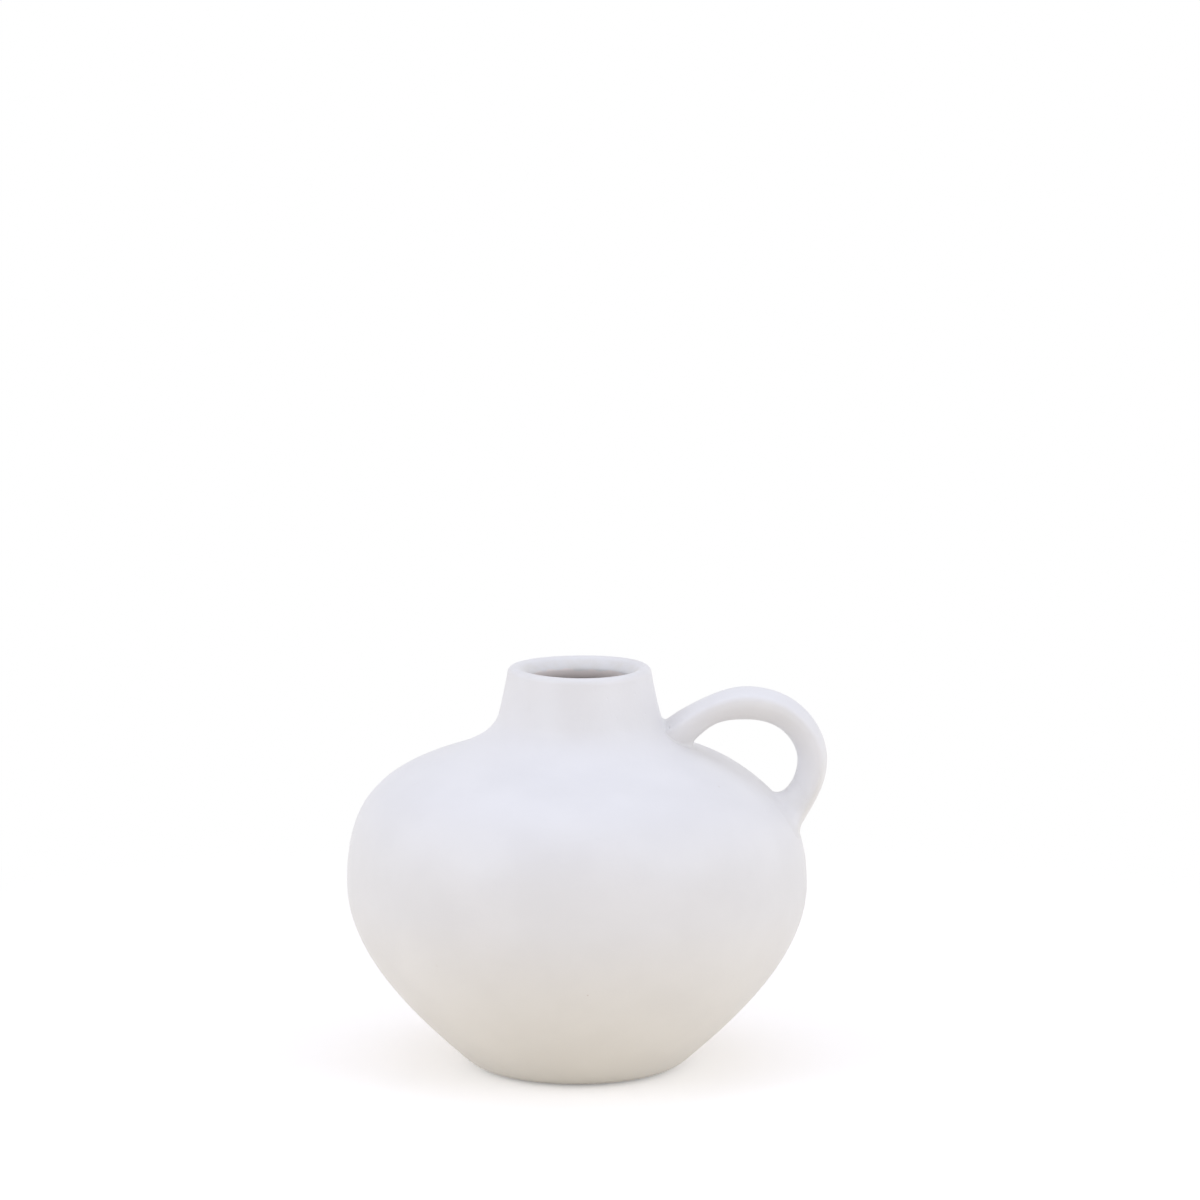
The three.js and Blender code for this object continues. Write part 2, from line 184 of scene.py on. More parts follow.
class BodySizes(PropertyGroup):
    """Outline of the body from the table up, and how the clay has settled."""

    foot_radius: length(
        "Foot Radius", "Outer edge of the flat ring that the vase stands on", 0.0324
    )
    foot_ring_width: length("Foot Ring Width", "Width of that ring", 0.006)
    foot_recess: length("Foot Recess", "How far the underside is hollow inside the ring", 0.002)
    foot_corner_radius: length(
        "Foot Corner Radius", "Rounding between the ring and the wall", 0.015
    )
    foot_flare: angle("Foot Flare", "Slope of the wall where that rounding ends", 42)
    belly_radius: length(
        "Belly Radius", "Widest place of the body", (BODY_HIGH.x - BODY_LOW.x) / 2
    )
    belly_height: length("Belly Height", "Height of the widest place", 0.069)
    shoulder_radius: length(
        "Shoulder Radius", "Place where the shoulder turns from round to hollow", 0.05
    )
    shoulder_height: length("Shoulder Height", "Height of that place", 0.117)
    shoulder_slope: angle("Shoulder Slope", "Slope of the shoulder there", 18.5)
    neck_radius: length("Neck Radius", "Place where the hollow ends and the neck begins", 0.0302)
    neck_root_height: length("Neck Root Height", "Height of that place", 0.1315)
    neck_root_lean: angle("Neck Root Lean", "How far the wall leans in there", 17)
    height: length("Height", "Height of the lip", BODY_HIGH.z)
    lip_radius: length("Lip Radius", "Outer edge of the lip", 0.0267)
    lip_lean: angle("Lip Lean", "How far the neck leans in just under the lip", 9)
    lip_rounding: length("Lip Rounding", "Rounding of the lip on the outside", 0.0026)
    lip_thickness: length(
        "Lip Thickness", "From the outer edge of the lip to the narrowest place inside", 0.0074
    )
    throat_depth: length(
        "Throat Depth", "Depth of the narrowest place below the top of the lip", 0.0046
    )
    throat_run: length(
        "Throat Run", "From the narrowest place down to where the wall has its own thickness", 0.009
    )
    lip_top_fullness: length(
        "Lip Top Fullness", "How far the lip stays level on its inside", 0.0017
    )
    above_throat_fullness: length(
        "Above Throat", "How far the lip stays upright over its narrowest place", 0.0015
    )
    below_throat_fullness: length(
        "Below Throat", "How far the lip stays upright under its narrowest place", 0.005
    )
    wall_top_fullness: length(
        "Wall Top Fullness", "How far the wall keeps its lean up towards the lip", 0.005
    )
    wall: length("Wall", "Thickness of the wall", 0.0045)
    floor: length("Floor", "Thickness of the floor", 0.0045)
    lower_wall_fullness: length(
        "Lower Wall Fullness", "How long the wall keeps the slope of the foot", 0.025
    )
    under_belly_fullness: length(
        "Under Belly Fullness", "How far down the belly stays upright", 0.025
    )
    over_belly_fullness: length("Over Belly Fullness", "How far up the belly stays upright", 0.03)
    shoulder_fullness: length(
        "Shoulder Fullness", "How long the shoulder keeps its slope outwards", 0.026
    )
    hollow_fullness: length(
        "Hollow Fullness", "How long the shoulder keeps its slope inwards", 0.0145
    )
    neck_root_fullness: length("Neck Root Fullness", "How far down the neck stays upright", 0.005)
    neck_fullness: length(
        "Neck Fullness", "How long the neck keeps its lean at either end", 0.004
    )
    # Also sets how deep the painted shade inside the mouth reaches
    glaze_depth: length("Glaze Depth", "How far down inside the mouth the glaze goes", 0.0045)
    glaze_thickness: length(
        "Glaze Thickness", "Step from the bare foot ring up to the glaze", 0.0003
    )
    neck_shift: length(
        "Neck Shift", "How far the neck stands off the axis towards the handle", 0.001
    )
    press_height: length(
        "Press Height", "Height of the place under the handle where the wall gave way", 0.106
    )
    press_depth: length("Press Depth", "How far the wall gave way there", 0.0032)
    press_spread: length(
        "Press Spread", "How far up and down from there the wall gave way", 0.0135
    )
    press_width: length("Press Width", "How far round from there the wall gave way", 0.028)
    unevenness: length("Unevenness", "How far the body departs from a true round", 0.00018)


class HandleSizes(PropertyGroup):
    """The loop of the handle, set out from its two roots on the outside of the body."""

    upper_root_height: length("Upper Root Height", "Height of the upper root on the body", 0.1241)
    upper_root_angle: angle(
        "Upper Root Angle", "Angle above level at which the handle leaves there", 26.5
    )
    crest_reach: length("Crest Reach", "From the upper root out to the top of the loop", 0.0271)
    crest_rise: length("Crest Rise", "From the upper root up to the top of the loop", 0.0121)
    lower_root_height: length("Lower Root Height", "Height of the lower root on the body", 0.0954)
    lower_root_angle: angle(
        "Lower Root Angle", "Angle above level at which the handle leaves there", 61
    )
    side_overhang: length(
        "Side Overhang", "From the lower root out to the outermost place", 0.0067
    )
    side_rise: length("Side Rise", "From the lower root up to the outermost place", 0.0197)
    upper_root_fullness: length(
        "Upper Root Fullness", "How long the handle keeps its first slope", 0.0025
    )
    before_crest_fullness: length(
        "Before Crest Fullness", "How long the top stays level inwards", 0.0147
    )
    after_crest_fullness: length(
        "After Crest Fullness", "How long the top stays level outwards", 0.0182
    )
    above_side_fullness: length(
        "Above Side Fullness", "How far up the limb stays upright", 0.0074
    )
    below_side_fullness: length(
        "Below Side Fullness", "How far down the limb stays upright", 0.0052
    )
    lower_root_fullness: length(
        "Lower Root Fullness", "How long the handle keeps its last slope", 0.011
    )
    upper_root_thickness: length(
        "Upper Root Thickness", "Thickness in the plane of the loop", 0.0131
    )
    waist_thickness: length(
        "Waist Thickness", "Thickness at the thin place past the upper root", 0.0104
    )
    waist_reach: length("Waist Reach", "From the upper root along to the thin place", 0.0168)
    crest_thickness: length("Crest Thickness", "Thickness at the top of the loop", 0.0121)
    side_thickness: length("Side Thickness", "Thickness at the outermost place", 0.011)
    lower_root_thickness: length("Lower Root Thickness", "Thickness at the lower root", 0.0105)
    upper_root_width: length("Upper Root Width", "Width across the plane of the loop", 0.019)
    crest_width: length("Crest Width", "Width at the top of the loop", 0.018)
    side_width: length("Side Width", "Width at the outermost place", 0.018)
    lower_root_width: length("Lower Root Width", "Width at the lower root", 0.0145)
    widest_offset: length(
        "Widest Offset", "From the middle of the section out to its widest place", 0.0021
    )
    inner_taper: share(
        "Inner Taper", "How much narrower the section gets towards the inside of the loop", 0.3
    )
    inner_flatness: share(
        "Inner Flatness", "How flat the section is on the inside of the loop", 0.4
    )


class SlipSizes(PropertyGroup):
    """The slip that was smeared round the two ends of the handle."""

    upper_outer_reach: length(
        "Upper Outer Reach", "Reach outside the loop at the upper end", 0.0018
    )
    upper_inner_reach: length("Upper Inner Reach", "Reach inside the loop at the upper end", 0.004)
    upper_side_reach: length(
        "Upper Side Reach", "Reach at the two sides of the upper end", 0.0008
    )
    lower_outer_reach: length("Lower Outer Reach", "Reach outside the loop at the lower end", 0.003)
    lower_inner_reach: length(
        "Lower Inner Reach", "Reach inside the loop at the lower end", 0.0085
    )
    lower_side_reach: length(
        "Lower Side Reach", "Reach at the two sides of the lower end", 0.0095
    )
    hollowness: share("Hollowness", "How deep the slip is drawn into the corner", 0.62)
    smear_depth: length("Smear Depth", "Depth of the marks left by smearing", 0.00007)


class FinishColours(PropertyGroup):
    """Colours and shine of the finishes."""

    glaze: colour("Glaze", "Dull white glaze on body and handle", SLOT_COLOUR["white_ceramic"])
    slip_glaze: colour("Slip Glaze", "The same glaze over the smeared slip", SLOT_COLOUR["slip"])
    # Glaze run thin on the lip, and also a painted shade that darkens the inner lip inside the
    # mouth
    thin_glaze_and_mouth_shade: colour(
        "Thin Glaze", "Glaze where it has run thin on the lip", (0.77, 0.745, 0.695)
    )
    bare_clay: colour("Bare Clay", "Unglazed clay of the foot ring", (0.68, 0.6, 0.5))
    # Bare clay inside the neck; its warm tone is also a painted shade deep in the mouth
    inside_clay_and_shade: colour(
        "Inside Clay", "Unglazed clay inside the neck and the belly", (0.88, 0.805, 0.745)
    )
    speck: colour("Speck", "Tiny burnt specks in the glaze", (0.7, 0.66, 0.63))
    glaze_roughness: share("Glaze Roughness", "Dullness of the glaze", 0.44)
    clay_roughness: share("Clay Roughness", "Dullness of the bare clay", 0.9)


class StageSettings(PropertyGroup):
    """Floor, lamps and camera."""

    floor_colour: colour("Floor Colour", "The pale floor as it is seen", (0.9, 0.88, 0.84))
    bounce_colour: colour(
        "Bounce Colour", "The pale floor as it lights the vase from below", (0.97, 0.89, 0.71)
    )
    sky_colour: colour("Sky Colour", "Soft light from all round", (0.98, 0.93, 1.0))
    sky_level: FloatProperty(
        name="Sky Level", description="Level of that light", default=0.55, min=0
    )
    lamp_colour: colour("Lamp Colour", "Cool white of the lamps", (0.76, 0.85, 1.0))
    overhead_level: power("Overhead Level", "Power of the lamp overhead", 4.3)
    front_level: power("Front Level", "Power of each lamp beside the camera", 5)
    side_level: power("Side Level", "Power of each lamp at the sides", 1.8)
    camera_place: point(
        "Camera Place", "Where the camera stands, from the axis of the vase", (0, -1.8, 0.469)
    )
    camera_aim: point(
        "Camera Aim",
        "Point in the middle of the picture, from the axis of the vase",
        (0.0086, 0, 0.1748),
    )
    lens: FloatProperty(
        name="Lens", description="Focal length of the camera", default=148.4, min=1, unit="CAMERA"
    )


# Curves in the plane of radius and height


def heading(slope):
    return np.array([math.cos(slope), math.sin(slope)])


def slope_of(step):
    return math.atan2(step[1, 1] - step[0, 1], step[1, 0] - step[0, 0])


def curve(start, leave, reach, end, t):
    """The place at a share t of a curve that two more points draw out of the straight."""
    return (
        (1 - t) ** 3 * start
        + 3 * t * (1 - t) ** 2 * leave
        + 3 * t**2 * (1 - t) * reach
        + t**3 * end
    )


def bend(start, start_slope, start_fullness, end, end_slope, end_fullness, steps):
    """Points on a curve that leaves one point at one slope and reaches another at another slope."""
    leave = start + start_fullness * heading(start_slope)
    reach = end - end_fullness * heading(end_slope)
    return curve(start, leave, reach, end, np.linspace(0, 1, steps + 1)[:, None])


def arc(centre, radius, start_degrees, end_degrees, steps):
    turn = np.radians(np.linspace(start_degrees, end_degrees, steps + 1))
    return centre + radius * np.column_stack([np.cos(turn), np.sin(turn)])


def straight(start, end, steps):
    return np.linspace(start, end, steps + 1)


def join(stretches):
    """One line from stretches that each begin where the one before ends."""
    return np.vstack([stretches[0]] + [stretch[1:] for stretch in stretches[1:]])


def unit(vectors):
    return vectors / np.linalg.norm(vectors, axis=-1, keepdims=True)


def moved_out(line, distance):
    """The line moved to its right, which is away from the axis where it runs upwards."""
    run = unit(np.gradient(line, axis=0))
    return line + distance * np.column_stack([run[:, 1], -run[:, 0]])


def eased(values, low, high):
    """A smooth step from 0 at low to 1 at high."""
    t = np.clip((values - low) / (high - low), 0, 1)
    return t * t * (3 - 2 * t)


def ripple(turn, waves):
    return sum(strength * np.sin(lobes * turn + start) for strength, lobes, start in waves)


def grid_faces(rows, columns, closed=False):
    """Faces between rows of points, each row a closed ring; the last meets the first if closed."""
    faces = []
    for row in range(rows if closed else rows - 1):
        above = (row + 1) % rows
        for column in range(columns):
            after = (column + 1) % columns
            faces.append((
                row * columns + column,
                row * columns + after,
                above * columns + after,
                above * columns + column,
            ))
    return faces


# Body


def lip_line(sizes):
    """The outer rounding of the lip, up to its crown."""
    radius = sizes.lip_rounding
    centre = np.array([sizes.lip_radius - radius, sizes.height - radius])
    return arc(centre, radius, math.degrees(sizes.lip_lean), 90, LIP_STEPS)


def outside_line(sizes):
    """The outside of the wall from the edge of the foot ring to the start of the lip."""
    foot_centre = np.array([sizes.foot_radius, sizes.foot_corner_radius])
    flare = math.degrees(sizes.foot_flare)
    foot = arc(foot_centre, sizes.foot_corner_radius, -90, flare - 90, FOOT_STEPS)
    belly = np.array([sizes.belly_radius, sizes.belly_height])
    shoulder = np.array([sizes.shoulder_radius, sizes.shoulder_height])
    shoulder_slope = math.pi - sizes.shoulder_slope
    neck_root = np.array([sizes.neck_radius, sizes.neck_root_height])
    neck_root_slope = math.pi / 2 + sizes.neck_root_lean
    lip = lip_line(sizes)[0]
    lip_slope = math.pi / 2 + sizes.lip_lean
    return join([
        foot,
        bend(foot[-1], sizes.foot_flare, sizes.lower_wall_fullness,
             belly, math.pi / 2, sizes.under_belly_fullness, LOWER_WALL_STEPS),
        bend(belly, math.pi / 2, sizes.over_belly_fullness,
             shoulder, shoulder_slope, sizes.shoulder_fullness, UPPER_WALL_STEPS),
        bend(shoulder, shoulder_slope, sizes.hollow_fullness,
             neck_root, neck_root_slope, sizes.neck_root_fullness, HOLLOW_STEPS),
        bend(neck_root, neck_root_slope, sizes.neck_fullness,
             lip, lip_slope, sizes.neck_fullness, NECK_STEPS),
    ])


def inside_line(sizes, outside):
    """The inside from the crown of the lip over its rolled edge to the wall, and on down the wall,
    rounded into the floor and ending on the axis."""
    floor_height = sizes.foot_recess + sizes.floor
    lowest = floor_height + sizes.floor
    throat = np.array([sizes.lip_radius - sizes.lip_thickness, sizes.height - sizes.throat_depth])
    highest = throat[1] - sizes.throat_run
    wall = moved_out(outside, -sizes.wall)[::-1]
    wall = wall[(wall[:, 1] > lowest) & (wall[:, 1] < highest)]
    crown = np.array([sizes.lip_radius - sizes.lip_rounding, sizes.height])
    end = wall[-1]
    middle = np.array([0, floor_height])
    return join([
        bend(crown, math.pi, sizes.lip_top_fullness,
             throat, -math.pi / 2, sizes.above_throat_fullness, LIP_TOP_STEPS),
        bend(throat, -math.pi / 2, sizes.below_throat_fullness,
             wall[0], slope_of(wall[:2]), sizes.wall_top_fullness, THROAT_STEPS),
        wall,
        bend(end, slope_of(wall[-2:]), WALL_FOOT_FULLNESS * end[0],
             middle, math.pi, FLOOR_FULLNESS * end[0], FLOOR_STEPS),
    ])


def underside_line(sizes):
    """The hollow underside and the foot ring, from the axis to the outer edge of the ring."""
    recess_radius = sizes.foot_radius - sizes.foot_ring_width - sizes.foot_recess
    corner = arc(np.array([recess_radius, 0]), sizes.foot_recess, 90, 0, RECESS_STEPS)
    ring_edge = np.array([sizes.foot_radius, 0])
    return join([
        straight(np.array([0, sizes.foot_recess]), corner[0], UNDERSIDE_STEPS),
        corner,
        straight(corner[-1], ring_edge, RING_STEPS),
    ])


def with_glaze_edge(outside, sizes):
    """The outside with a step near the table, where the glaze begins above the bare foot."""
    thickness = sizes.glaze_thickness
    bare = 1 - eased(outside[:, 1], thickness, GLAZE_EDGE * thickness)
    sunk = moved_out(outside, -thickness)
    return outside + bare[:, None] * (sunk - outside)


def glaze_marks(line, inside, sizes):
    """For each point of the turned line: how thin the glaze has run on the lip, how strong the
    painted shade is inside the mouth, and how bare the clay is, whose colour also carries a painted
    warm shade.
    """
    depth = np.zeros(len(line))
    depth[-len(inside):] = sizes.height - inside[:, 1]
    lip_foot = sizes.height - LIP_THINNING_REACH * sizes.wall
    on_lip = LIP_THINNING * eased(line[:, 1], lip_foot, sizes.height)
    # Painted shade: the inner lip turns darker and warmer from the crown down into the mouth
    mouth_shade = eased(depth, 0, MOUTH_SHADE_FROM * sizes.glaze_depth)
    # Bare clay deep in the mouth, whose colour also carries a painted warm shade
    bare = eased(depth, BARE_FROM * sizes.glaze_depth, BARE_TO * sizes.glaze_depth)
    return {"thin_glaze_and_mouth_shade": np.maximum(on_lip, mouth_shade), "bare_inside_and_shade": bare}


def lathe(line):
    """Points and faces of a line turned round the axis; both of its ends lie on the axis."""
    turn = np.arange(BODY_SEGMENTS) * 2 * math.pi / BODY_SEGMENTS
    rows = line[1:-1]
    x = rows[:, 0, None] * np.cos(turn)
    y = rows[:, 0, None] * np.sin(turn)
    z = np.repeat(rows[:, 1, None], BODY_SEGMENTS, axis=1)
    first = [0, 0, line[0, 1]]
    last = [0, 0, line[-1, 1]]
    points = np.vstack([np.dstack([x, y, z]).reshape(-1, 3), first, last])
    bottom = len(points) - 2
    top = len(points) - 1
    faces = grid_faces(len(rows), BODY_SEGMENTS)
    here = np.arange(BODY_SEGMENTS)
    after = np.roll(here, -1)
    start = (len(rows) - 1) * BODY_SEGMENTS
    faces += [(bottom, int(b), int(a)) for a, b in zip(here, after)]
    faces += [(top, int(start + a), int(start + b)) for a, b in zip(here, after)]
    return points, faces


def radius_at(outside, height):
    return np.interp(height, outside[:, 1], outside[:, 0])


def dropped(points, outside, lift=0.0):
    """The points of the outside, moved out by a lift, that lie nearest to given points."""
    line = moved_out(outside, lift)
    radius = np.hypot(points[:, 0], points[:, 1])
    flat = np.column_stack([radius, points[:, 2]])[:, None]
    start = line[:-1]
    run = np.diff(line, axis=0)
    along = np.clip(np.sum((flat - start) * run, axis=2) / np.sum(run**2, axis=1), 0, 1)
    place = start + along[..., None] * run
    nearest = np.argmin(np.sum((place - flat) ** 2, axis=2), axis=1)
    best = place[np.arange(len(points)), nearest]
    scale = best[:, 0] / radius
    return np.column_stack([points[:, 0] * scale, points[:, 1] * scale, best[:, 1]])


def pressed(turn, radius, height, sizes, outside):
    """How far points are pushed in and down by the press under the handle."""
    press_radius = radius_at(outside, sizes.press_height)
    away = ((radius - press_radius) / sizes.press_spread) ** 2
    away += ((height - sizes.press_height) / sizes.press_spread) ** 2
    away += (turn * press_radius / sizes.press_width) ** 2
    off_the_wall = np.maximum(radius - radius_at(outside, height), 0)
    away += (OFF_WALL_FADE * off_the_wall / sizes.press_spread) ** 2
    inward = -unit(np.array([press_radius, 0, sizes.belly_height]))
    return sizes.press_depth * np.exp(-away / 2)[:, None] * inward


def settled(points, sizes, outside):
    """Points moved as the soft clay moved: pressed in under the handle, the neck off the axis, and
    the whole not quite round. Every piece goes through this, so they still fit each other."""
    height = points[:, 2]
    turn = np.arctan2(points[:, 1], points[:, 0])
    radius = np.hypot(points[:, 0], points[:, 1])
    wave = sum(
        strength * np.cos(lobes * turn + start + twist * height / sizes.height)
        for strength, lobes, start, twist in BODY_WAVES
    )
    result = points + pressed(turn, radius, height, sizes, outside)
    result[:, :2] *= 1 + (sizes.unevenness * wave / sizes.belly_radius)[:, None]
    neck = 1 - eased(radius, NECK_CLEAR * sizes.neck_radius, sizes.shoulder_radius)
    neck *= eased(height, sizes.shoulder_height, sizes.neck_root_height)
    result[:, 0] += sizes.neck_shift * neck
    strength, lobes, start = LIP_WAVE
    result[:, 2] += strength * sizes.unevenness * np.cos(lobes * turn + start) * neck
    return result


# Handle


class Loop:
    """The centreline of the handle in the plane of radius and height, and the section along it."""

    def __init__(self, sizes, outside):
        self.sizes = sizes
        upper_height = sizes.upper_root_height
        lower_height = sizes.lower_root_height
        upper = np.array([radius_at(outside, upper_height), upper_height])
        lower = np.array([radius_at(outside, lower_height), lower_height])
        crest = upper + [sizes.crest_reach, sizes.crest_rise]
        side = lower + [sizes.side_overhang, sizes.side_rise]
        depth = ROOT_DEPTH * sizes.crest_width
        stretches = [
            straight(upper - depth * heading(sizes.upper_root_angle), upper, ROOT_STEPS),
            bend(upper, sizes.upper_root_angle, sizes.upper_root_fullness,
                 crest, 0, sizes.before_crest_fullness, LOOP_STEPS),
            bend(crest, 0, sizes.after_crest_fullness,
                 side, -math.pi / 2, sizes.above_side_fullness, LOOP_STEPS),
            bend(side, -math.pi / 2, sizes.below_side_fullness,
                 lower, sizes.lower_root_angle - math.pi, sizes.lower_root_fullness, LOOP_STEPS),
            straight(lower, lower - depth * heading(sizes.lower_root_angle), ROOT_STEPS),
        ]
        self.line = join(stretches)
        steps = np.linalg.norm(np.diff(self.line, axis=0), axis=1)
        self.run = np.concatenate([[0], np.cumsum(steps)])
        self.along = unit(np.gradient(self.line, self.run, axis=0))
        ends = np.cumsum([len(stretch) - 1 for stretch in stretches])[:-1]
        upper_run, self.crest_run, self.side_run, lower_run = self.run[ends]
        self.half_thickness = self.graded([
            (upper_run, sizes.upper_root_thickness),
            (upper_run + sizes.waist_reach, sizes.waist_thickness),
            (self.crest_run, sizes.crest_thickness),
            (self.side_run, sizes.side_thickness),
            (lower_run, sizes.lower_root_thickness),
        ]) / 2
        self.half_width = self.graded([
            (upper_run, sizes.upper_root_width),
            (self.crest_run, sizes.crest_width),
            (self.side_run, sizes.side_width),
            (lower_run, sizes.lower_root_width),
        ]) / 2

    def graded(self, places):
        """A size that changes smoothly along the loop between places, each a run and its size."""
        size = np.full(len(self.run), places[0][1])
        for (run, before), (next_run, after) in zip(places, places[1:]):
            size += (after - before) * eased(self.run, run, next_run)
        return size

    def wall(self, run, turn, grow=0.0):
        """Points of the wall at distances along the loop and turns round the section; turn 0 lies
        on the outer side of the loop."""
        centre_x = np.interp(run, self.run, self.line[:, 0])
        centre_z = np.interp(run, self.run, self.line[:, 1])
        along_x = np.interp(run, self.run, self.along[:, 0])
        along_z = np.interp(run, self.run, self.along[:, 1])
        outwards = np.maximum(np.cos(turn), 0)
        inwards = np.maximum(-np.cos(turn), 0)
        rise = np.interp(run, self.run, self.half_thickness) + grow
        rise = rise * (outwards - inwards ** (1 - self.sizes.inner_flatness))
        rise += self.sizes.widest_offset * np.sin(turn) ** 4
        across = np.interp(run, self.run, self.half_width) + grow
        across = across * np.sin(turn) * (1 - self.sizes.inner_taper * inwards)
        return np.stack([centre_x - along_z * rise, across, centre_z + along_x * rise], axis=-1)

    def meeting(self, turn, inner_run, outer_run, outside):
        """Where the wall comes out of the body, between a run inside it and a run clear of it."""
        inner = np.full(len(turn), inner_run)
        outer = np.full(len(turn), outer_run)
        for _ in range(HALVINGS):
            middle = (inner + outer) / 2
            place = self.wall(middle, turn)
            clear = np.hypot(place[:, 0], place[:, 1]) > radius_at(outside, place[:, 2])
            outer = np.where(clear, middle, outer)
            inner = np.where(clear, inner, middle)
        return outer

    def upper_meeting(self, turn, outside):
        return self.meeting(turn, self.run[0], self.crest_run, outside)

    def lower_meeting(self, turn, outside):
        return self.meeting(turn, self.run[-1], self.side_run, outside)


def handle_mesh(loop, outside):
    """The loop from body to body, closed at both ends."""
    turn = np.arange(HANDLE_SIDES) * 2 * math.pi / HANDLE_SIDES
    start = loop.upper_meeting(turn, outside) + HANDLE_BED
    end = loop.lower_meeting(turn, outside) - HANDLE_BED
    runs = start + np.linspace(0, 1, HANDLE_RINGS)[:, None] * (end - start)
    rings = loop.wall(runs, np.broadcast_to(turn, runs.shape))
    points = np.vstack([rings.reshape(-1, 3), rings[0].mean(axis=0), rings[-1].mean(axis=0)])
    faces = grid_faces(HANDLE_RINGS, HANDLE_SIDES)
    last = (HANDLE_RINGS - 1) * HANDLE_SIDES
    for side in range(HANDLE_SIDES):
        after = (side + 1) % HANDLE_SIDES
        faces.append((len(points) - 2, after, side))
        faces.append((len(points) - 1, last + side, last + after))
    return points, faces


# Slip joints


def slip_reach(turn, outer_reach, inner_reach, side_reach):
    """Reach of the slip round the handle, uneven as a finger leaves it."""
    outer = np.maximum(np.cos(turn), 0) ** 2
    inner = np.maximum(-np.cos(turn), 0) ** 2
    even = side_reach + (outer_reach - side_reach) * outer + (inner_reach - side_reach) * inner
    return even * (1 + ripple(turn, REACH_WAVES))


def slip_mesh(loop, outside, meeting, away, turn, reach, sizes):
    """A ring of slip in the corner between handle and body. Its hollow face runs into both without
    a step, and its edges and back lie under their surfaces."""
    corner = loop.wall(meeting, turn)
    spread = unit(loop.wall(meeting, turn, PROBE) - corner)
    on_handle = loop.wall(meeting + away * reach, turn)
    on_body = dropped(corner + reach[:, None] * spread, outside)
    normal = unit(dropped(on_body, outside, PROBE) - on_body)
    back = corner - on_body
    back -= np.sum(back * normal, axis=1)[:, None] * normal
    leave = on_handle + sizes.hollowness * (corner - on_handle)
    arrive = on_body + sizes.hollowness * back
    swell = unit(unit(on_handle - corner) + unit(on_body - corner))
    mark = sizes.smear_depth * ripple(turn, SMEAR_WAVES)
    rows = [loop.wall(meeting + away * (reach + SLIP_OVERLAP), turn, -SLIP_UNDER)]
    for t in np.linspace(0, 1, SLIP_STEPS + 1):
        face = curve(on_handle, leave, arrive, on_body, t)
        rows.append(face + (math.sin(math.pi * t) ** 2 * mark)[:, None] * swell)
    rows.append(dropped(on_body - SLIP_OVERLAP * unit(back), outside, -SLIP_UNDER))
    rows.append(dropped((on_body + corner) / 2, outside, -SLIP_INSIDE))
    rows.append(dropped(loop.wall(meeting, turn, -SLIP_INSIDE), outside, -SLIP_INSIDE))
    rows.append(loop.wall(meeting + away * reach / 2, turn, -SLIP_INSIDE))
    return np.vstack(rows), grid_faces(len(rows), len(turn), closed=True)


# Finishes


def add_node(tree, kind, inputs=None, **attributes):
    """A node whose inputs are each set to a value or linked to another node's output."""
    node = tree.nodes.new(kind)
    for name, value in attributes.items():
        setattr(node, name, value)
    for name, value in (inputs or {}).items():
        if isinstance(value, bpy.types.NodeSocket):
            tree.links.new(value, node.inputs[name])
        else:
            node.inputs[name].default_value = value
    return node


def marked(tree, name):
    """The value that the points of the mesh carry under a name."""
    return add_node(tree, "ShaderNodeAttribute", attribute_name=name).outputs["Fac"]


def noise(tree, place, size, detail, roughness=0.5):
    """Cloudy noise whose blotches are about as large as a size in metres."""
    inputs = {"Vector": place, "Scale": 1 / size, "Detail": detail, "Roughness": roughness}
    return add_node(tree, "ShaderNodeTexNoise", inputs).outputs["Fac"]


def spread_to(tree, value, low, high, new_low, new_high):
    inputs = {
        "Value": value, "From Min": low, "From Max": high, "To Min": new_low, "To Max": new_high
    }
    node = add_node(tree, "ShaderNodeMapRange", inputs, interpolation_type="SMOOTHSTEP")
    return node.outputs["Result"]


def blotches(tree, place, size, detail, low, high):
    """Noise that is spread out to lie between a low and a high value."""
    return spread_to(tree, noise(tree, place, size, detail), NOISE_LOW, NOISE_HIGH, low, high)


def calculated(tree, operation, first, second):
    node = add_node(tree, "ShaderNodeMath", {0: first, 1: second}, operation=operation)
    return node.outputs["Value"]


def mixed(tree, factor, first, second):
    """A colour between two colours, each given as three numbers or as another node's output."""
    node = add_node(tree, "ShaderNodeMix", {"Factor": factor}, data_type="RGBA")
    for socket, value in ((node.inputs[6], first), (node.inputs[7], second)):
        if isinstance(value, bpy.types.NodeSocket):
            tree.links.new(value, socket)
        else:
            socket.default_value = (*value, 1)
    return node.outputs[2]


def shaded(value, factor):
    return tuple(channel * factor for channel in value)


def specks(tree, place, spacing, radius, kept):
    """1 inside small scattered dots and 0 outside; only a share of the possible dots is kept."""
    cells = add_node(tree, "ShaderNodeTexVoronoi", {"Vector": place, "Scale": 1 / spacing}).outputs
    edge = radius / spacing
    near = spread_to(tree, cells["Distance"], edge / 2, edge, 1, 0)
    pick = add_node(tree, "ShaderNodeSeparateColor", {"Color": cells["Color"]}).outputs["Red"]
    return calculated(tree, "MULTIPLY", near, calculated(tree, "LESS_THAN", pick, kept))


def raise_surface(tree, shader, height, relief):
    """Fine relief from a height between 0 and about 1."""
    bump = add_node(tree, "ShaderNodeBump", {"Strength": 1, "Distance": relief, "Height": height})
    tree.links.new(bump.outputs["Normal"], shader.inputs["Normal"])


def new_material(name):
    """A material with its shader, and the coordinates of the row frame for its patterns."""
    material = bpy.data.materials.new(name)
    material.use_nodes = True
    tree = material.node_tree
    place = add_node(tree, "ShaderNodeTexCoord").outputs["Object"]
    return material, tree, tree.nodes["Principled BSDF"], place


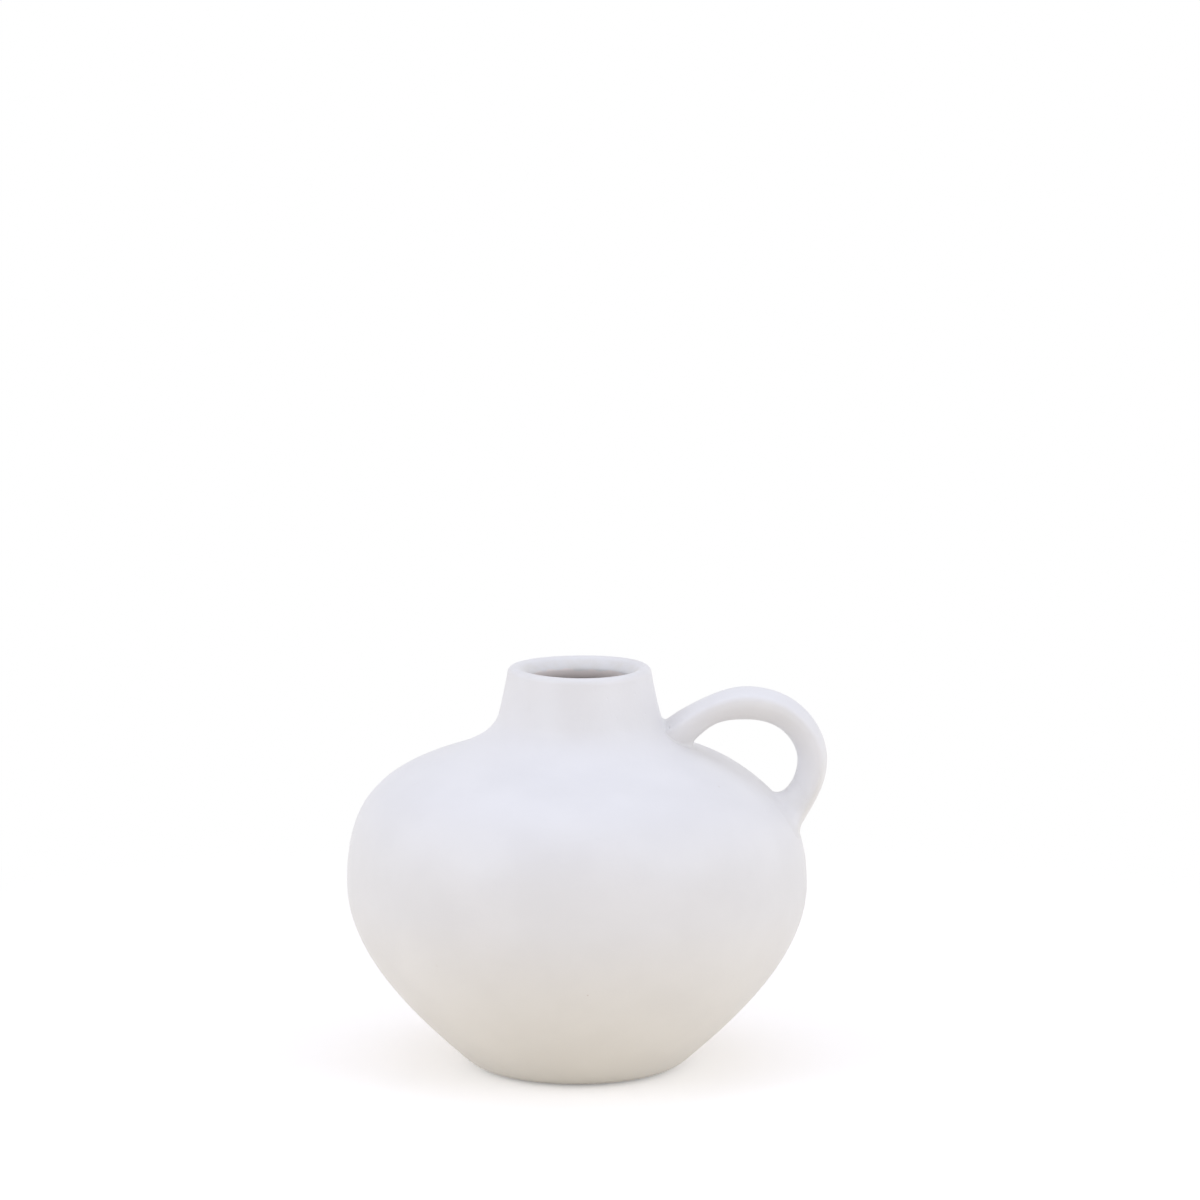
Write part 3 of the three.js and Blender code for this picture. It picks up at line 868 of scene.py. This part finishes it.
def glaze_material(name, tone, finish, cloud_size):
    """Dull white glaze: faintly cloudy, with dimples, a fine tooth and a few burnt specks, thin on
    the lip, darkened inside the mouth by painted shade, and ending in runs inside the mouth in bare
    clay whose colour also carries a painted warm shade."""
    material, tree, shader, place = new_material(name)
    clouds = blotches(tree, place, cloud_size, 4, 0, 1)
    clouded = mixed(tree, clouds, shaded(tone, 0.975), shaded(tone, 1.012))
    patchy = blotches(tree, place, THIN_PATCHES, 3, 0.4, 0.9)
    # Thin glaze on the lip, and painted shade that darkens the inner lip inside the mouth
    thin = calculated(tree, "MULTIPLY", marked(tree, "thin_glaze_and_mouth_shade"), patchy)
    thinned_and_shaded = mixed(tree, thin, clouded, finish.thin_glaze_and_mouth_shade)
    runs = blotches(tree, place, GLAZE_RUNS, 3, -0.35, 0.35)
    # Bare clay inside the mouth; its colour also carries a painted warm shade
    bare = calculated(tree, "ADD", marked(tree, "bare_inside_and_shade"), runs)
    edged = mixed(tree, spread_to(tree, bare, 0.35, 0.65, 0, 1), thinned_and_shaded, finish.inside_clay_and_shade)
    dots = specks(tree, place, *BURNT_SPECKS)
    tree.links.new(mixed(tree, dots, edged, finish.speck), shader.inputs["Base Color"])
    dullness = finish.glaze_roughness
    patches = blotches(tree, place, DULL_PATCHES, 3, dullness - 0.05, dullness + 0.05)
    tree.links.new(patches, shader.inputs["Roughness"])
    tooth = calculated(tree, "MULTIPLY", noise(tree, place, TOOTH, 2), 0.18)
    raised = calculated(tree, "ADD", noise(tree, place, DIMPLES, 2), tooth)
    pits = calculated(tree, "MULTIPLY", specks(tree, place, *PITS), 0.9)
    raise_surface(tree, shader, calculated(tree, "SUBTRACT", raised, pits), GLAZE_RELIEF)
    return material


def bare_clay_material(finish):
    """Fired clay without glaze: dry and grainy, with darker grains and paler patches."""
    material, tree, shader, place = new_material("bare_clay")
    tone = finish.bare_clay
    patches = blotches(tree, place, CLAY_PATCHES, 4, 0, 1)
    patchy = mixed(tree, patches, shaded(tone, 0.9), shaded(tone, 1.08))
    grains = specks(tree, place, *GRAINS)
    tree.links.new(mixed(tree, grains, patchy, shaded(tone, 0.62)), shader.inputs["Base Color"])
    shader.inputs["Roughness"].default_value = finish.clay_roughness
    grain = calculated(tree, "ADD", noise(tree, place, CLAY_GRAIN, 4, 0.7), grains)
    raise_surface(tree, shader, grain, CLAY_RELIEF)
    return material


# Pieces


def add_piece(context, name, points, faces, materials, node):
    """A smooth closed piece in the row frame, which stands for a node of the frame."""
    mesh = bpy.data.meshes.new(name)
    mesh.from_pydata((points + [AXIS_X, 0, 0]).tolist(), [], faces)
    if mesh.validate():
        raise RuntimeError(f"{name} has faces that can't be used")
    shell = bmesh.new()
    shell.from_mesh(mesh)
    bmesh.ops.recalc_face_normals(shell, faces=shell.faces)
    if shell.calc_volume(signed=True) < 0:
        bmesh.ops.reverse_faces(shell, faces=shell.faces)
    shell.to_mesh(mesh)
    shell.free()
    mesh.shade_smooth()
    for material in materials:
        mesh.materials.append(material)
    piece = bpy.data.objects.new(name, mesh)
    context.scene.collection.objects.link(piece)
    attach(piece, "root")
    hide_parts(node)
    return piece


class VASE_OT_make_body(Operator):
    """Make the hollow body with its foot ring, neck and lip"""

    bl_idname = "vase.make_body"
    bl_label = "Make Body"

    def execute(self, context):
        sizes = context.scene.vase_body
        finish = context.scene.vase_finish
        outside = outside_line(sizes)
        glazed = with_glaze_edge(outside, sizes)
        inside = inside_line(sizes, outside)
        line = join([underside_line(sizes), glazed, lip_line(sizes), inside])
        points, faces = lathe(line)
        points = settled(points, sizes, outside)
        glaze = glaze_material("white_glaze", finish.glaze, finish, BODY_CLOUDS)
        materials = [glaze, bare_clay_material(finish)]
        body = add_piece(
            context, "round_body", points, faces, materials, "vase_body"
        )
        self.bare_the_foot_ring(body.data, sizes)
        for name, values in glaze_marks(line, inside, sizes).items():
            self.mark(body.data, name, values)
        return {"FINISHED"}

    def bare_the_foot_ring(self, mesh, sizes):
        inner = sizes.foot_radius - sizes.foot_ring_width - sizes.foot_recess / 2
        outer = sizes.foot_radius + sizes.foot_corner_radius
        top = BARE_HEIGHT * sizes.glaze_thickness
        for face in mesh.polygons:
            radius = math.hypot(face.center.x - AXIS_X, face.center.y)
            if face.center.z < top and inner < radius < outer:
                face.material_index = 1

    def mark(self, mesh, name, along_line):
        """Give every point the value that belongs to its place on the turned line."""
        rings = np.repeat(along_line[1:-1], BODY_SEGMENTS)
        values = np.concatenate([rings, along_line[[0, -1]]])
        mesh.attributes.new(name, "FLOAT", "POINT").data.foreach_set("value", values)


class VASE_OT_make_handle(Operator):
    """Make the loop of the handle"""

    bl_idname = "vase.make_handle"
    bl_label = "Make Handle"

    def execute(self, context):
        sizes = context.scene.vase_body
        finish = context.scene.vase_finish
        outside = outside_line(sizes)
        loop = Loop(context.scene.vase_handle, outside)
        points, faces = handle_mesh(loop, outside)
        points = settled(points, sizes, outside)
        glaze = glaze_material("white_glaze_handle", finish.glaze, finish, HANDLE_CLOUDS)
        add_piece(context, "loop_handle", points, faces, [glaze], "handle")
        return {"FINISHED"}


class VASE_OT_make_slip_joints(Operator):
    """Make the smeared slip round the upper and lower end of the handle"""

    bl_idname = "vase.make_slip_joints"
    bl_label = "Make Slip Joints"

    def execute(self, context):
        sizes = context.scene.vase_body
        slip = context.scene.vase_slip
        finish = context.scene.vase_finish
        outside = outside_line(sizes)
        loop = Loop(context.scene.vase_handle, outside)
        turn = np.arange(SLIP_SIDES) * 2 * math.pi / SLIP_SIDES
        glaze = glaze_material("white_glaze_slip", finish.slip_glaze, finish, SLIP_CLOUDS)
        upper_reach = slip_reach(
            turn, slip.upper_outer_reach, slip.upper_inner_reach, slip.upper_side_reach
        )
        lower_reach = slip_reach(
            turn, slip.lower_outer_reach, slip.lower_inner_reach, slip.lower_side_reach
        )
        upper = (loop.upper_meeting(turn, outside), 1, upper_reach)
        lower = (loop.lower_meeting(turn, outside), -1, lower_reach)
        for end, (meeting, away, reach) in (("upper", upper), ("lower", lower)):
            points, faces = slip_mesh(loop, outside, meeting, away, turn, reach, slip)
            points = settled(points, sizes, outside)
            add_piece(context, f"{end}_slip", points, faces, [glaze], f"{end}_slip_joint")
        return {"FINISHED"}


# Stage


def seen_directly(tree):
    """1 for rays from the camera and for what is seen in a gloss or through glass, otherwise 0."""
    path = add_node(tree, "ShaderNodeLightPath").outputs
    seen = calculated(tree, "MAXIMUM", path["Is Camera Ray"], path["Is Glossy Ray"])
    return calculated(tree, "MAXIMUM", seen, path["Is Transmission Ray"])


def floor_material(settings):
    """Pale floor: white with the shadow of the vase where it is seen, a warmer tone where it lights
    the vase, and plain white further out."""
    material = bpy.data.materials.new("pale_floor")
    material.use_nodes = True
    tree = material.node_tree
    tree.nodes.clear()

    def shader(kind, inputs):
        node = add_node(tree, kind, inputs)
        return node.outputs[0]

    place = add_node(tree, "ShaderNodeTexCoord").outputs["Object"]
    distance = add_node(tree, "ShaderNodeVectorMath", {0: place}, operation="LENGTH")
    faded = spread_to(tree, distance.outputs["Value"], FADE_START, FADE_END, 0, 1)
    paper = shader("ShaderNodeBsdfDiffuse", {"Color": (*settings.floor_colour, 1)})
    lift = shader("ShaderNodeEmission", {"Strength": FLOOR_LIFT})
    lifted = shader("ShaderNodeAddShader", {0: paper, 1: lift})
    white = shader("ShaderNodeEmission", {"Strength": 1})
    shown = shader("ShaderNodeMixShader", {0: faded, 1: lifted, 2: white})
    bounce = shader("ShaderNodeBsdfDiffuse", {"Color": (*settings.bounce_colour, 1)})
    surface = shader("ShaderNodeMixShader", {0: seen_directly(tree), 1: bounce, 2: shown})
    add_node(tree, "ShaderNodeOutputMaterial", {"Surface": surface})
    return material


def add_floor(context, settings):
    mesh = bpy.data.meshes.new("studio_floor")
    shape = bmesh.new()
    bmesh.ops.create_circle(shape, cap_ends=True, segments=FLOOR_SEGMENTS, radius=FLOOR_RADIUS)
    shape.to_mesh(mesh)
    shape.free()
    mesh.materials.append(floor_material(settings))
    floor = bpy.data.objects.new("studio_floor", mesh)
    context.scene.collection.objects.link(floor)


def light_from_all_round(context, settings):
    """A white surround where it is seen, and soft light from all sides."""
    world = bpy.data.worlds.new("studio_surround")
    world.use_nodes = True
    context.scene.world = world
    tree = world.node_tree
    tree.nodes.clear()
    sky = {"Color": (*settings.sky_colour, 1), "Strength": settings.sky_level}
    light = add_node(tree, "ShaderNodeBackground", sky).outputs["Background"]
    white = add_node(tree, "ShaderNodeBackground", {"Color": (1, 1, 1, 1), "Strength": 1})
    inputs = {0: seen_directly(tree), 1: light, 2: white.outputs["Background"]}
    mix = add_node(tree, "ShaderNodeMixShader", inputs)
    add_node(tree, "ShaderNodeOutputWorld", {"Surface": mix.outputs["Shader"]})


def aimed(place, aim):
    """The turn of a lamp or camera at a place that looks at a point."""
    return (aim - place).to_track_quat("-Z", "Y").to_euler()


def add_lamp(context, name, place, level, width, height):
    """A large soft lamp that faces the middle of the vase."""
    lamp = bpy.data.lights.new(name, "AREA")
    lamp.color = context.scene.vase_stage.lamp_colour
    lamp.shape = "RECTANGLE"
    lamp.size = width
    lamp.size_y = height
    lamp.energy = level
    holder = bpy.data.objects.new(name, lamp)
    holder.location = place
    holder.rotation_euler = aimed(holder.location, Vector((AXIS_X, 0, BODY_HIGH.z / 2)))
    context.scene.collection.objects.link(holder)


def add_camera(context, settings):
    camera = bpy.data.cameras.new("studio_camera")
    camera.lens = settings.lens
    holder = bpy.data.objects.new("studio_camera", camera)
    axis = Vector((AXIS_X, 0, 0))
    holder.location = axis + Vector(settings.camera_place)
    holder.rotation_euler = aimed(holder.location, axis + Vector(settings.camera_aim))
    context.scene.collection.objects.link(holder)
    context.scene.camera = holder


class VASE_OT_make_stage(Operator):
    """Make the pale floor, the soft lamps, the white surround and the camera"""

    bl_idname = "vase.make_stage"
    bl_label = "Make Stage"

    def execute(self, context):
        settings = context.scene.vase_stage
        context.scene.view_settings.view_transform = "Standard"
        add_floor(context, settings)
        light_from_all_round(context, settings)
        level = settings.overhead_level
        add_lamp(context, "overhead_lamp", (0, 0.15, 1.4), level, width=1.3, height=1.3)
        for side in (-1, 1):
            level = settings.front_level
            add_lamp(context, "front_lamp", (side, -0.75, 0.75), level, width=0.5, height=0.9)
            level = settings.side_level
            add_lamp(context, "side_lamp", (side * 1.25, 0.2, 0.5), level, width=0.7, height=0.9)
        add_camera(context, settings)
        return {"FINISHED"}


class VASE_PT_sidebar(Panel):
    """Lists the pieces of the vase, with their sizes and colours"""

    bl_label = "Handled Vase"
    bl_space_type = "VIEW_3D"
    bl_region_type = "UI"
    bl_category = "Vase"

    def draw(self, context):
        for settings, operators in SECTIONS:
            group = getattr(context.scene, settings)
            box = self.layout.box()
            for operator in operators:
                box.operator(operator.bl_idname)
            column = box.column(align=True)
            for name in group.__annotations__:
                column.prop(group, name)


# Each group of settings, and the operators that are listed with it
SECTIONS = (
    ("vase_body", (VASE_OT_make_body,)),
    ("vase_handle", (VASE_OT_make_handle,)),
    ("vase_slip", (VASE_OT_make_slip_joints,)),
    ("vase_finish", ()),
    ("vase_stage", (VASE_OT_make_stage,)),
)

SETTINGS = {
    "vase_body": BodySizes,
    "vase_handle": HandleSizes,
    "vase_slip": SlipSizes,
    "vase_finish": FinishColours,
    "vase_stage": StageSettings,
}

CLASSES = (
    *SETTINGS.values(),
    VASE_OT_make_body,
    VASE_OT_make_handle,
    VASE_OT_make_slip_joints,
    VASE_OT_make_stage,
    VASE_PT_sidebar,
)


def register():
    for cls in CLASSES:
        bpy.utils.register_class(cls)
    for name, group in SETTINGS.items():
        setattr(bpy.types.Scene, name, PointerProperty(type=group))


def unregister():
    for name in SETTINGS:
        delattr(bpy.types.Scene, name)
    for cls in reversed(CLASSES):
        bpy.utils.unregister_class(cls)


def main():
    register()
    bpy.ops.vase.make_body()
    bpy.ops.vase.make_handle()
    bpy.ops.vase.make_slip_joints()
    bpy.ops.vase.make_stage()


if __name__ == "__main__":
    main()
